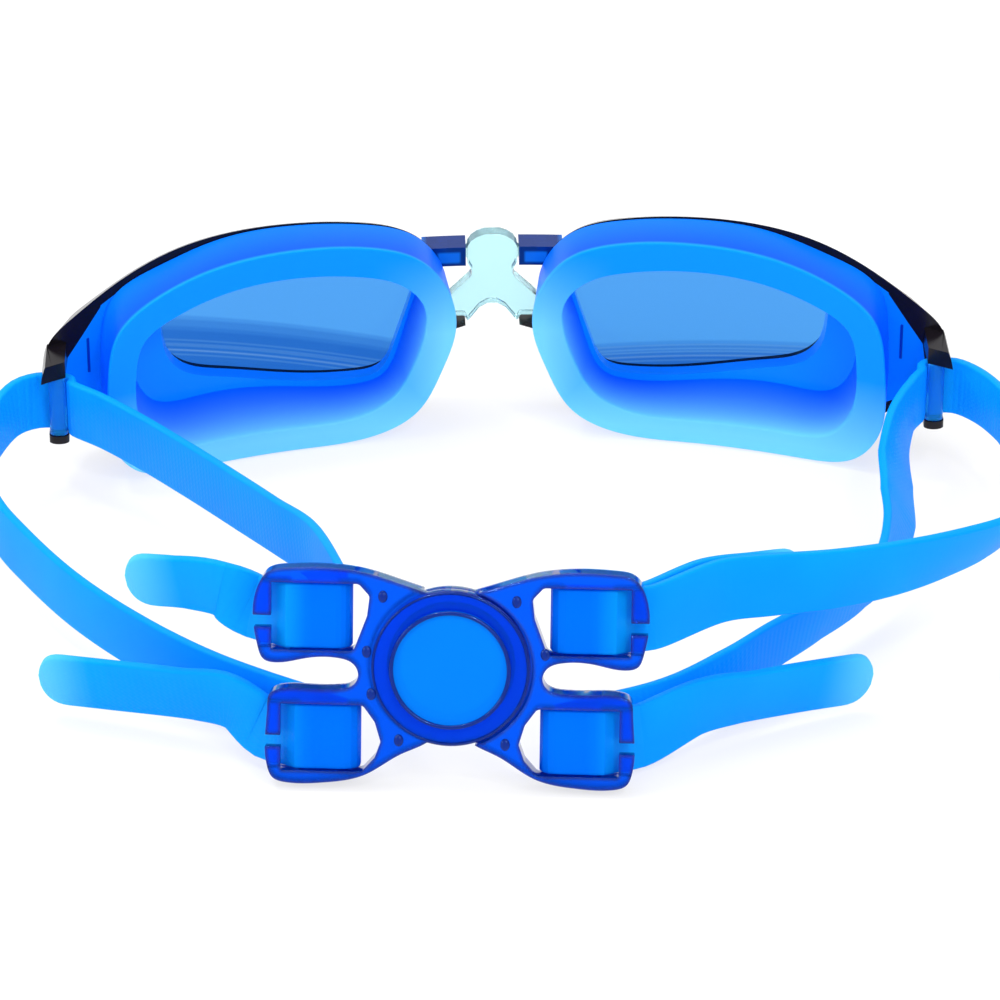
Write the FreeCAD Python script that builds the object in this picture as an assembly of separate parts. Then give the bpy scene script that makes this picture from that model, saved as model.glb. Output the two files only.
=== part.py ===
import FreeCAD, Part
import math
import os

# Swim goggles with a swivelling back clip. Millimetres, +Z up, lenses towards +Y, clip towards -Y,
# standing on the lower edges of the eye seals and of the clip. Everything is built round the middle
# of the nose and moved at the end, so that the origin is the bottom centre of the whole.

# Face curve: every layer of the eye cups is a cylinder about one upright axis behind the face
nose_rim_y = 35.0
rim_radius = 150.0
wrap_axis_y = nose_rim_y - rim_radius
skirt_depth = 10.0
frame_thick = 5.0
lens_seat_depth = 2.0
lens_thick = 2.0
bezel_thick = 2.0
fit_gap = 0.05
soft_gap = 0.3

# Eye cup outlines seen along Y, right cup, as (x, z)
rim_outline = [(6.9, 24.5), (8.6, 31.0), (13.0, 36.6), (22.0, 40.1), (36.0, 41.3), (50.0, 40.2), (61.0, 36.6),
               (68.2, 30.8), (70.3, 21.0), (69.6, 8.0), (65.6, 2.2), (56.0, 0.2), (36.0, 0.2), (22.4, 1.2),
               (14.4, 5.4), (9.6, 14.0)]
opening_outline = [(12.4, 24.5), (13.6, 29.0), (17.0, 32.2), (24.0, 34.5), (37.0, 35.8), (49.0, 34.8),
                   (58.0, 32.0), (63.6, 28.2), (65.3, 21.0), (64.6, 11.6), (61.4, 6.6), (53.0, 5.0),
                   (36.0, 4.9), (24.6, 5.8), (18.6, 9.2), (14.6, 16.0)]
flange_outline = [(8.6, 24.5), (9.6, 31.6), (14.2, 37.2), (23.5, 40.3), (36.0, 41.6), (50.0, 41.0),
                  (61.0, 37.9), (69.6, 33.4), (72.0, 22.0), (71.0, 10.0), (66.6, 4.4), (56.0, 2.8),
                  (36.0, 2.4), (23.0, 3.0), (15.0, 7.2), (10.6, 15.0)]
flange_opening = [(14.6, 24.5), (15.0, 29.6), (18.0, 32.6), (24.0, 34.2), (37.0, 35.2), (49.0, 34.6),
                  (59.0, 32.6), (65.6, 28.0), (66.4, 22.0), (65.2, 13.8), (63.0, 10.7), (54.0, 9.6),
                  (38.0, 8.4), (25.0, 7.4), (21.0, 8.6), (17.6, 14.8)]
window_outline = [(15.3, 24.5), (15.8, 29.0), (18.6, 31.8), (24.0, 33.2), (36.0, 34.2), (47.0, 33.8),
                  (56.0, 31.8), (60.6, 28.2), (61.0, 23.4), (60.0, 18.6), (57.6, 15.4), (50.0, 12.4),
                  (39.0, 9.7), (26.4, 8.4), (21.6, 9.3), (18.3, 15.3)]
shell_outline = [(8.7, 24.5), (9.8, 31.8), (14.2, 37.2), (24.0, 40.6), (36.0, 41.9), (48.0, 41.9),
                 (59.0, 40.1), (69.6, 35.6), (77.0, 31.0), (80.9, 27.6), (82.4, 22.0), (82.3, 13.2),
                 (80.8, 10.2), (76.0, 9.5), (70.5, 6.4), (63.0, 3.0), (50.0, 1.6), (36.0, 1.2),
                 (23.0, 2.0), (14.2, 6.4), (10.4, 14.6)]
front_middle = (40.0, 21.0)
front_share = (0.94, 0.83)
shell_wall = 1.8
lens_overlap = 2.2
bezel_overlap = -1.4

# Straps: flat ribbons, each looped round its temple bar, with both ends threaded through the clip
strap_width = 11.0
strap_thick = 1.6
strap_gap = 0.3
strap_mid_z = 17.7
tail_end_width = 4.0
tail_round_length = 4.6
tail_squareness = 2.4
section_step = 3.0

# Temple fork and the flat bar that the strap loops round, which has a round pin at each end
bar_x = 79.5
bar_before_rim = 4.4
bar_half_width = 1.6
bar_half_depth = 1.0
bar_pin_radius = 0.7
bar_seat = 1.0
bar_y = wrap_axis_y + math.sqrt((rim_radius + bar_before_rim) ** 2 - bar_x ** 2)
fork_side_gap = 0.35
fork_bottom_z = strap_mid_z - strap_width / 2 - fork_side_gap
fork_top_z = strap_mid_z + strap_width / 2 + fork_side_gap
upper_tine_inner_x = bar_x - bar_half_width
upper_tine_height = 3.2
lower_tine_half_width = 1.8
lower_tine_height = 1.5
lower_tine_inner_x = bar_x - lower_tine_half_width
arm_edge = [(71.6, 32.0), (75.2, 26.9), (77.8, 23.4), (78.3, 20.0), (78.3, fork_bottom_z + 2.4),
            (lower_tine_inner_x - 0.6, fork_bottom_z + 0.8), (lower_tine_inner_x - 0.6, -20.0)]

# Nose: sockets, lugs and the soft bridge
socket_inner_x = 4.9
socket_outer_x = 13.0
socket_z = (30.5, 34.3)
socket_hole_z = (31.2, 33.6)
socket_hole_depth = 3.4
socket_hole_inset = 1.2
lug_tip_x = 5.0
lug_z = (16.8, 19.2)
bridge_inset = 0.8
bridge_outline = [(1.4, 36.3), (2.8, 35.8), (3.9, 35.0), (4.6, 33.9), (4.6, 30.6), (4.2, 29.8),
                  (3.8, 29.0), (3.8, 28.2), (4.3, 27.3), (8.35, 23.4), (8.35, 19.6), (5.2, 19.6),
                  (4.6, 18.4), (3.6, 19.6), (2.4, 21.2), (0.9, 22.1)]

# Back clip, drawn face on: u across, v up from the middle of the button, w towards the wearer's back
clip_place = (-11.0, -77.8, 19.95)
clip_lean = 17.0
clip_turn = -4.6
clip_thick = 4.0
wing_gap = 0.1
ring_radius = 13.2
button_radius = 10.0
button_proud = 1.0
journal_radius = 8.6
running_gap = 0.05
retainer_radius = 10.6
retainer_thick = 1.0
wing_clearance = 0.4
clip_bar_thick = 1.6
upper_bar_u = 18.5
lower_bar_u = 17.0
upper_outer_u = 29.6
lower_outer_u = 28.0
upper_strap_v = 8.3
lower_strap_v = -12.3
window_side_gap = 0.2
window_corner = 1.0
slot_width = strap_thick + 1.3
exit_slope = 0.8
stacked_exit_slope = 0.45
upper_gap_v = (6.4, 8.4)
lower_gap_v = (-14.0, -12.0)
upper_v0 = upper_strap_v - strap_width / 2 - window_side_gap
upper_v1 = upper_strap_v + strap_width / 2 + window_side_gap
lower_v0 = lower_strap_v - strap_width / 2 - window_side_gap
lower_v1 = lower_strap_v + strap_width / 2 + window_side_gap
upper_window = [(upper_outer_u, upper_v1), (15.2, upper_v1), (13.4, upper_v1 - 2.0), (13.8, upper_v1 - 5.4),
                (16.0, upper_v0), (upper_outer_u, upper_v0)]
lower_window = [(lower_outer_u, lower_v1), (14.4, lower_v1), (12.4, lower_v1 - 2.8), (11.4, lower_v1 - 6.2),
                (12.4, lower_v0 + 2.4), (14.5, lower_v0), (lower_outer_u, lower_v0)]
wing_outline = [(3.6, 12.6), (8.0, 14.0), (14.0, upper_v1 + 1.8), (21.0, upper_v1 + 2.6),
                (27.0, upper_v1 + 2.4), (30.4, upper_v1 + 1.5), (31.8, upper_v1 - 0.6),
                (31.8, upper_v0 + 0.4), (30.8, upper_v0 - 1.7), (29.0, upper_v0 - 2.2),
                (24.0, upper_v0 - 1.4), (18.6, upper_v0 - 1.2), (16.0, upper_v0 - 2.2), (15.2, -1.5),
                (16.0, lower_v1 + 3.4), (18.6, lower_v1 + 2.6), (24.0, lower_v1 + 2.6),
                (28.2, lower_v1 + 2.4), (29.8, lower_v1 + 1.6), (30.2, lower_v1 - 0.4),
                (30.2, lower_v0 + 0.6), (29.3, lower_v0 - 1.3), (27.0, lower_v0 - 2.1),
                (21.0, lower_v0 - 2.0), (14.0, lower_v0 - 0.5), (8.0, -14.8), (3.6, -12.6)]

# Places the free stretches of the straps pass, (x, y, z) with the way their width points
upright = (0.0, 0.0, 1.0)
forward_lean = (0.0, -0.23, 0.97)
left_upper_main = [((-33.0, -50.0, 25.6), (-0.12, 0.22, 0.97)),
                   ((-39.3, -37.8, 23.5), (-0.10, 0.14, 0.98)), ((-46.5, -25.0, 21.5), upright),
                   ((-55.7, -9.8, 19.5), upright), ((-65.0, 4.0, 18.0), upright)]
left_upper_tail = [((-64.4, -61.6, 28.3), forward_lean), ((-55.6, -64.4, 29.0), forward_lean),
                   ((-48.8, -67.2, 29.2), (0.0, -0.1, 0.99))]
left_lower_main = [((-90.4, 11.0, 16.6), upright), ((-92.4, 3.0, 14.8), upright),
                   ((-91.8, -6.0, 12.8), upright), ((-88.6, -14.5, 11.0), upright),
                   ((-83.6, -23.2, 10.0), upright), ((-76.2, -35.1, 9.5), upright),
                   ((-69.0, -44.2, 9.0), upright), ((-59.6, -54.1, 8.5), upright),
                   ((-50.6, -62.0, 8.0), (-0.05, 0.1, 0.99)), ((-41.0, -69.0, 7.8), (-0.1, 0.2, 0.98))]
left_lower_tail = [((-79.8, -58.8, 7.4), forward_lean), ((-68.0, -62.6, 8.0), forward_lean),
                   ((-55.0, -67.4, 9.0), forward_lean), ((-47.5, -70.8, 9.4), (0.0, -0.05, 1.0))]
right_upper_main = [((90.6, 8.0, 17.7), upright), ((93.2, -3.0, 17.8), (0.2, 0.0, 0.98)),
                    ((93.6, -15.0, 18.4), (0.42, 0.0, 0.9)), ((91.0, -28.0, 19.4), (0.5, -0.22, 0.84)),
                    ((84.4, -39.5, 20.7), (0.33, -0.37, 0.87)),
                    ((76.2, -47.0, 21.9), (0.2, -0.28, 0.94)),
                    ((66.0, -54.0, 23.2), (0.08, -0.12, 0.99)), ((54.0, -60.2, 24.8), (0.0, 0.04, 1.0)),
                    ((43.0, -64.2, 26.3), (0.0, 0.15, 0.98)), ((34.5, -67.4, 27.3), (0.0, 0.22, 0.97))]
right_upper_tail = [((48.5, -58.6, 24.4), (0.0, 0.12, 0.99)), ((40.0, -62.2, 25.4), (0.0, 0.18, 0.98)),
                    ((31.5, -65.6, 26.3), (0.0, 0.24, 0.97))]
right_lower_main = [((24.0, -73.6, 7.6), (0.0, 0.28, 0.96)), ((35.3, -64.6, 8.0), (0.0, 0.12, 0.99)),
                    ((44.6, -54.6, 8.6), (0.1, -0.12, 0.98)), ((54.0, -46.4, 9.2), (0.2, -0.24, 0.95)),
                    ((62.4, -37.0, 10.0), (0.2, -0.14, 0.96)), ((67.6, -26.0, 11.0), (-0.2, 0.0, 0.97)),
                    ((69.6, -15.6, 12.4), (-0.5, 0.0, 0.86)), ((70.2, -4.8, 14.2), (-0.5, 0.0, 0.86)),
                    ((71.6, 4.6, 16.4), (-0.25, 0.0, 0.97))]
right_lower_tail = [((60.3, -62.6, 6.9), forward_lean), ((48.2, -67.0, 7.8), forward_lean),
                    ((38.7, -71.0, 8.6), forward_lean), ((30.4, -74.8, 9.2), (0.0, -0.05, 1.0))]

V = FreeCAD.Vector
far = 300.0


def on_wrap(x, z, radius):
    return V(x, wrap_axis_y + math.sqrt(radius * radius - x * x), z)


def closed_curve(points):
    curve = Part.BSplineCurve()
    curve.interpolate(points, PeriodicFlag=True)
    return curve.toShape()


def inset(outline, distance):
    """The outline's points moved inwards along its normals. Outlines run clockwise seen from the back."""
    moved = []
    count = len(outline)
    for i, (x, z) in enumerate(outline):
        before, after = outline[i - 1], outline[(i + 1) % count]
        dx, dz = after[0] - before[0], after[1] - before[1]
        length = math.hypot(dx, dz)
        moved.append((x + distance * dz / length, z - distance * dx / length))
    return moved


def prism(outline):
    """A solid of this outline, running along Y through everything."""
    edge = closed_curve([V(x, -far, z) for x, z in outline])
    return Part.Face(Part.Wire(edge)).extrude(V(0, 2 * far, 0))


def layer(inner_radius, outer_radius):
    """The space between two cylinders about the wrap axis, in front of the face."""
    base = V(0, wrap_axis_y, -20)
    ring = Part.makeCylinder(outer_radius, 100, base).cut(Part.makeCylinder(inner_radius, 100, base))
    return ring.common(Part.makeBox(2 * far, far, 100, V(-far, wrap_axis_y + 60, -20)))


def block(x0, x1, z0, z1):
    return Part.makeBox(x1 - x0, 2 * far, z1 - z0, V(x0, -far, z0))


def solid_of(faces):
    shell = Part.makeShell(faces)
    shell.sewShape()
    solid = Part.Solid(shell)
    if solid.Volume < 0:
        solid.reverse()
    return solid


def banded(rails):
    """A closed ring whose section has one corner on each rail."""
    curves = [closed_curve([on_wrap(x, z, radius) for x, z in outline]) for outline, radius in rails]
    faces = [Part.makeRuledSurface(curves[i - 1], curves[i]) for i in range(len(curves))]
    return solid_of(faces)


flange_radius = rim_radius + skirt_depth
frame_back = flange_radius + fit_gap
seat_radius = frame_back + frame_thick - lens_seat_depth
frame_front = frame_back + frame_thick
shell_front = frame_front + fit_gap + bezel_thick
tine_back = rim_radius + bar_before_rim - bar_half_depth


def drawn_in(outline, share):
    """The outline drawn in towards the middle of the front, by this share of the way to the front face."""
    x0, z0 = front_middle
    x_scale, z_scale = (1 - share * (1 - narrowed) for narrowed in front_share)
    return [(x0 + (x - x0) * x_scale, z0 + (z - z0) * z_scale) for x, z in outline]


def narrowing(outline):
    """A ring inside this outline that narrows from its back to the front face, open within the window."""
    beyond = 1.0
    reach = beyond / (shell_front - frame_back)
    inner = inset(window_outline, 1.0)
    return banded([(drawn_in(outline, -reach), frame_back - beyond),
                   (drawn_in(outline, 1 + reach), shell_front + beyond),
                   (inner, shell_front + beyond), (inner, frame_back - beyond)])


def arm_side(gap):
    """Everything on the temple side of the edge where the shell's solid arm starts."""
    edge = [V(x + gap, -far, z) for x, z in arm_edge]
    corners = edge + [V(far, -far, -20), V(far, -far, 80), V(arm_edge[0][0] + gap, -far, 80)]
    return Part.Face(Part.makePolygon(corners + corners[:1])).extrude(V(0, 2 * far, 0))


def flat_bar(half_width, half_depth, z0, z1):
    """An upright bar of oval section at the strap bar's place."""
    oval = Part.Ellipse(V(bar_x, bar_y, z0), half_width, half_depth).toShape()
    return Part.Face(Part.Wire(oval)).extrude(V(0, 0, z1 - z0))


def gasket():
    rails = [(flange_outline, flange_radius), (rim_outline, rim_radius), (opening_outline, rim_radius),
             (flange_opening, flange_radius)]
    return banded(rails)


def inner_frame():
    outline = inset(shell_outline, shell_wall)
    body = layer(frame_back, frame_front).common(narrowing(outline)).cut(arm_side(0))
    nose = layer(frame_back, frame_front).common(block(socket_inner_x, socket_outer_x, *socket_z))
    body = body.fuse(nose)
    body = body.cut(prism(window_outline))
    seat = layer(seat_radius, frame_front + 5).common(prism(inset(window_outline, -lens_overlap - fit_gap)))
    body = body.cut(seat)
    hole = layer(frame_back + socket_hole_inset, frame_front - socket_hole_inset)
    hole = hole.common(block(0, socket_inner_x + socket_hole_depth, *socket_hole_z))
    return body.cut(hole)


def lens():
    return layer(seat_radius + fit_gap, seat_radius + lens_thick - fit_gap).common(
        prism(inset(window_outline, -lens_overlap)))


def front_shell():
    body = layer(frame_back, shell_front).common(narrowing(shell_outline))
    room = narrowing(inset(shell_outline, shell_wall - fit_gap))
    cavity = layer(frame_back - 5, frame_front + fit_gap).common(room).cut(arm_side(fit_gap))
    body = body.cut(cavity)
    body = body.cut(block(0, socket_outer_x + fit_gap, socket_z[0] - fit_gap, socket_z[1] + fit_gap).common(
        layer(frame_back - 5, frame_front + fit_gap)))
    body = body.cut(prism(inset(window_outline, bezel_overlap)))
    tine_root = layer(tine_back, frame_back + 1.0)
    upper_tine = block(upper_tine_inner_x, far, fork_top_z, fork_top_z + upper_tine_height)
    body = body.fuse(upper_tine.common(tine_root).common(prism(shell_outline)))
    tine_bottom_z = fork_bottom_z - lower_tine_height
    lower_tine = block(lower_tine_inner_x, bar_x + lower_tine_half_width, tine_bottom_z, fork_bottom_z)
    lower_tine = lower_tine.common(tine_root).common(Part.makeBox(far, far, far, V(0, bar_y, 0)))
    tine_end = flat_bar(lower_tine_half_width, bar_half_depth + 0.2, tine_bottom_z, fork_bottom_z)
    body = body.fuse(lower_tine.fuse(tine_end))
    seat_to_seat = fork_top_z - fork_bottom_z + 2 * (bar_seat + fit_gap)
    body = body.cut(Part.makeCylinder(bar_pin_radius + fit_gap, seat_to_seat,
                                      V(bar_x, bar_y, fork_bottom_z - bar_seat - fit_gap)))
    lug = layer(frame_back, frame_front).common(
        Part.Face(Part.makePolygon([V(12.0, -far, lug_z[0] - 1.0), V(lug_tip_x, -far, sum(lug_z) / 2),
                                    V(9.0, -far, lug_z[1]), V(12.0, -far, lug_z[1]),
                                    V(12.0, -far, lug_z[0] - 1.0)])).extrude(V(0, 2 * far, 0)))
    return body.fuse(lug.cut(cavity)).removeSplitter()


def strap_bar():
    pin = Part.makeCylinder(bar_pin_radius, fork_top_z - fork_bottom_z + 2 * bar_seat,
                            V(bar_x, bar_y, fork_bottom_z - bar_seat))
    return flat_bar(bar_half_width, bar_half_depth, fork_bottom_z + fit_gap, fork_top_z - fit_gap).fuse(pin)


def nose_bridge():
    half = [V(x, -far, z) for x, z in bridge_outline]
    loop = half + [V(-p.x, p.y, p.z) for p in reversed(half)]
    outline = Part.Face(Part.makePolygon(loop + loop[:1])).extrude(V(0, 2 * far, 0))
    body = layer(frame_back + bridge_inset, frame_front - bridge_inset).common(outline)
    tab_x = socket_inner_x + socket_hole_depth - soft_gap
    tab_inset = socket_hole_inset + soft_gap
    tab = layer(frame_back + tab_inset, frame_front - tab_inset).common(
        block(-tab_x, tab_x, socket_hole_z[0] + soft_gap, socket_hole_z[1] - soft_gap))
    return body.fuse(tab)


def placed_on_clip(shape):
    shape = shape.copy()
    shape.rotate(V(0, 0, 0), V(1, 0, 0), 90 - clip_lean)
    shape.rotate(V(0, 0, 0), V(0, 0, 1), clip_turn)
    shape.translate(V(*clip_place))
    return shape


def on_clip(u, v, w):
    return placed_on_clip(Part.Vertex(u, v, w)).Point


def drawn(points, w0, w1, smooth=True):
    """A plate of this outline between two heights over the clip's middle plane."""
    corners = [V(u, v, w0) for u, v in points]
    wire = Part.Wire(closed_curve(corners)) if smooth else Part.makePolygon(corners + corners[:1])
    return Part.Face(wire).extrude(V(0, 0, w1 - w0))


def disc_plate(radius, w0, w1):
    return Part.makeCylinder(radius, w1 - w0, V(0, 0, w0))


def clip_wing(ring_in_front):
    half = clip_thick / 2
    plate = drawn(wing_outline, -half, half)
    plate = plate.cut(disc_plate(ring_radius + wing_clearance, -half, half))
    ring = disc_plate(ring_radius + wing_clearance + 1.0, -half, half)
    ring = ring.common(drawn(wing_outline, -half, half))
    mid = (wing_gap / 2, half) if ring_in_front else (-half, -wing_gap / 2)
    ring = ring.common(disc_plate(ring_radius + 2.0, *mid)).fuse(disc_plate(ring_radius, *mid))
    wing = plate.fuse(ring).cut(disc_plate(journal_radius + running_gap, -half, half))
    for window, outer, bar_u, low, high, gap in (
            (upper_window, upper_outer_u, upper_bar_u, upper_v0, upper_v1, upper_gap_v),
            (lower_window, lower_outer_u, lower_bar_u, lower_v0, lower_v1, lower_gap_v)):
        hole = drawn(window, -half, half, smooth=False)
        inner = [edge for edge in hole.Edges if abs(edge.tangentAt(edge.FirstParameter).z) > 0.5
                 and edge.CenterOfMass.x < outer - 1.0]
        wing = wing.cut(hole.makeFillet(window_corner, inner))
        wing = wing.cut(Part.makeBox(10, high - low, half, V(outer - 0.5, low, -half)))
        bar = Part.makeBox(outer - slot_width - bar_u, high - low + 1.0, clip_bar_thick,
                           V(bar_u, low - 0.5, -half))
        wing = wing.fuse(bar)
        wing = wing.cut(Part.makeBox(10, gap[1] - gap[0], clip_thick, V(outer - 0.5, gap[0], -half)))
    return wing.removeSplitter()


def clip_disc():
    half = clip_thick / 2
    cap = disc_plate(button_radius, half + fit_gap, half + button_proud)
    stem = disc_plate(journal_radius, -half - retainer_thick, half + fit_gap)
    return cap.fuse(stem).removeSplitter()


def clip_retainer():
    half = clip_thick / 2
    ring = disc_plate(retainer_radius, -half - retainer_thick, -half - fit_gap)
    return ring.cut(disc_plate(journal_radius + fit_gap / 2, -half - retainer_thick, -half))


def along(stations):
    """Points and width directions on a smooth curve through the stations, evenly spaced in each stretch."""
    points = [V(*p) for p, width in stations]
    widths = [V(*width) for p, width in stations]
    points = [points[0] * 2 - points[1]] + points + [points[-1] * 2 - points[-2]]
    result = []
    for i in range(1, len(points) - 2):
        p0, p1, p2, p3 = points[i - 1:i + 3]
        t1 = math.sqrt(p0.distanceToPoint(p1))
        t2 = t1 + math.sqrt(p1.distanceToPoint(p2))
        t3 = t2 + math.sqrt(p2.distanceToPoint(p3))
        steps = max(1, round(p1.distanceToPoint(p2) / section_step))
        for step in range(steps):
            t = t1 + (t2 - t1) * step / steps
            a1 = p0 * ((t1 - t) / t1) + p1 * (t / t1)
            a2 = p1 * ((t2 - t) / (t2 - t1)) + p2 * ((t - t1) / (t2 - t1))
            a3 = p2 * ((t3 - t) / (t3 - t2)) + p3 * ((t - t2) / (t3 - t2))
            b1 = a1 * ((t2 - t) / t2) + a2 * (t / t2)
            b2 = a2 * ((t3 - t) / (t3 - t1)) + a3 * ((t - t1) / (t3 - t1))
            blend = step / steps
            result.append((b1 * ((t2 - t) / (t2 - t1)) + b2 * ((t - t1) / (t2 - t1)),
                           widths[i - 1] * (1 - blend) + widths[i] * blend))
    result.append((points[-2], widths[-1]))
    return result


def half_width(distance):
    """Half the strap's width this far from its rounded end."""
    left = 1 - min(distance / tail_round_length, 1.0)
    return max(tail_end_width, strap_width * (1 - left ** tail_squareness) ** (1 / tail_squareness)) / 2


def rounded_ends(stations):
    """Adds closely spaced stations at both ends, for the round shape of the tails."""
    for end in (0, -1):
        step = 1 if end == 0 else -1
        tip, width = stations[end]
        way = V(*stations[end + step][0]) - V(*tip)
        way.normalize()
        way *= tail_round_length
        added = [(tuple(V(*tip) + way * share), width) for share in (0.08, 0.25, 0.5, 1.0)]
        if end == 0:
            stations = stations[:1] + added + stations[1:]
        else:
            stations = stations[:-1] + added[::-1] + stations[-1:]
    return stations


def ribbon(stations):
    path = along(rounded_ends(stations))
    lengths = [0.0]
    for (p, w), (q, x) in zip(path, path[1:]):
        lengths.append(lengths[-1] + p.distanceToPoint(q))
    sections = []
    for i, (point, width) in enumerate(path):
        way = path[min(i + 1, len(path) - 1)][0] - path[max(i - 1, 0)][0]
        way.normalize()
        across = width - way * width.dot(way)
        across.normalize()
        half = half_width(min(lengths[i], lengths[-1] - lengths[i]))
        across, thick = across * half, way.cross(across) * (strap_thick / 2)
        corners = [point + across + thick, point - across + thick,
                   point - across - thick, point + across - thick]
        sections.append(Part.makePolygon(corners + corners[:1]))
    return Part.makeLoft(sections, True, True)


def threaded(side, bar_u, v, outer, slope, fold_end, tail_behind=False):
    """The strap's way through one slot of the clip, from outside, over the bar and round its inner edge."""
    half = clip_thick / 2
    over = -half + clip_bar_thick + strap_gap + strap_thick / 2
    behind = -strap_gap - 0.64 * strap_thick
    way = [(outer + 3.4, behind - 3.9 * slope), (outer + 0.2, behind - 0.7 * slope),
           (outer - 0.5 * slot_width, (over + behind) / 2), (outer - slot_width + 0.2, over),
           ((outer + bar_u) / 2, over)]
    radius = clip_bar_thick / 2 + strap_gap + strap_thick / 2
    centre_u, centre_w = bar_u + radius / 4, -half + clip_bar_thick / 2
    for step in range(7):
        turn = math.radians(fold_end * step / 6)
        way.append((centre_u - radius * math.sin(turn), centre_w + radius * math.cos(turn)))
    if tail_behind:
        way += [((outer + bar_u) / 2, centre_w - radius), (outer - 1.0, centre_w - radius - strap_gap),
                (outer + 1.6, centre_w - radius - 4 * strap_gap)]
    width = tuple(on_clip(0, 1, 0) - on_clip(0, 0, 0))
    return [(tuple(on_clip(side * u, v, w)), width) for u, w in way]


def round_bar(side, from_turn, to_turn):
    """The strap's way round the front of the temple bar, in degrees from its inner side."""
    off = strap_gap + strap_thick / 2
    turns = [math.radians(from_turn + (to_turn - from_turn) * step / 6) for step in range(7)]
    return [((side * (bar_x - (bar_half_width + off) * math.cos(turn)),
              bar_y + (bar_half_depth + off) * math.sin(turn), strap_mid_z), upright) for turn in turns]


def by_bar(side, outwards, forwards):
    """A place this far from the temple bar that the strap passes at the bar's height."""
    return [((side * (bar_x + outwards), bar_y + forwards, strap_mid_z), upright)]


def left_strap():
    upper = threaded(-1, upper_bar_u, upper_strap_v, upper_outer_u, exit_slope, 110)
    lower = threaded(-1, lower_bar_u, lower_strap_v, lower_outer_u, exit_slope, 150)
    loop = by_bar(-1, -8.0, -5.8) + round_bar(-1, -20, 95) + by_bar(-1, 3.7, 2.1) + by_bar(-1, 7.5, -0.4)
    return ribbon(left_upper_tail + upper + left_upper_main + loop + left_lower_main
                  + lower[::-1] + left_lower_tail[::-1])


def right_strap():
    upper = threaded(1, upper_bar_u, upper_strap_v, upper_outer_u, stacked_exit_slope, 180, tail_behind=True)
    lower = threaded(1, lower_bar_u, lower_strap_v, lower_outer_u, exit_slope, 155)
    loop = by_bar(1, -5.1, -5.4) + round_bar(1, -20, 95) + by_bar(1, 3.7, 1.9) + by_bar(1, 7.5, -1.8)
    return ribbon(right_lower_tail + lower + right_lower_main + loop + right_upper_main
                  + upper + right_upper_tail[::-1])


def mirrored(shape):
    return shape.mirror(V(0, 0, 0), V(1, 0, 0))


nodes = {}
for side in ("right", "left"):
    pieces = {"gasket": gasket(), "inner_frame": inner_frame(), "lens": lens(), "front_shell": front_shell(),
              "strap_bar": strap_bar()}
    for name, shape in pieces.items():
        nodes[side + "_" + name] = shape if side == "right" else mirrored(shape)
nodes["nose_bridge"] = nose_bridge()
nodes["clip_right_wing"] = placed_on_clip(clip_wing(False))
nodes["clip_left_wing"] = placed_on_clip(clip_wing(True).mirror(V(0, 0, 0), V(1, 0, 0)))
nodes["clip_disc"] = placed_on_clip(clip_disc())
nodes["clip_retainer"] = placed_on_clip(clip_retainer())
nodes["left_strap"] = left_strap()
nodes["right_strap"] = right_strap()

whole = Part.makeCompound(list(nodes.values())).optimalBoundingBox(False)
to_origin = V(-whole.Center.x, -whole.Center.y, -whole.ZMin)
print("moved by", to_origin, "overall", whole.XLength, whole.YLength, whole.ZLength)
os.makedirs("parts", exist_ok=True)
for name, shape in nodes.items():
    shape.translate(to_origin)
    print(name, shape.isValid(), len(shape.Solids), round(shape.Volume, 1), shape.BoundBox)
    shape.exportStep("parts/" + name + ".step")
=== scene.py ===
import math
import bmesh
import bpy
from mathutils import Matrix, Vector


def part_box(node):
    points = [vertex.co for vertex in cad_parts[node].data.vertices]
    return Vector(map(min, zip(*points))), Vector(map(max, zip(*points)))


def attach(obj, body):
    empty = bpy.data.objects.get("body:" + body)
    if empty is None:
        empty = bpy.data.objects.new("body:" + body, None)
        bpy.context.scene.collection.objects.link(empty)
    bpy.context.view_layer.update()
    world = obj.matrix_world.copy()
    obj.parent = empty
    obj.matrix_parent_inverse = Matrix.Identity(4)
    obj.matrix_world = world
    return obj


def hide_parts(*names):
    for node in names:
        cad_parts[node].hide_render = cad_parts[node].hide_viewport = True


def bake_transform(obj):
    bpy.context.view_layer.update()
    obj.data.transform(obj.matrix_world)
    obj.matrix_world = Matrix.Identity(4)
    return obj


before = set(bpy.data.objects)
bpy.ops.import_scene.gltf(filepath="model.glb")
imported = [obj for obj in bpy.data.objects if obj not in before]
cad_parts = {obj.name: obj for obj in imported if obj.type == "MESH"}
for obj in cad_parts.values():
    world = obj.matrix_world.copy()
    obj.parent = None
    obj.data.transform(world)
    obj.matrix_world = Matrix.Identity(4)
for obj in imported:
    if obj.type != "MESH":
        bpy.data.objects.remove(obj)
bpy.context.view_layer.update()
mm = 0.001
grainDepth = 0.1 * mm
print("frame loaded")


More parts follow.
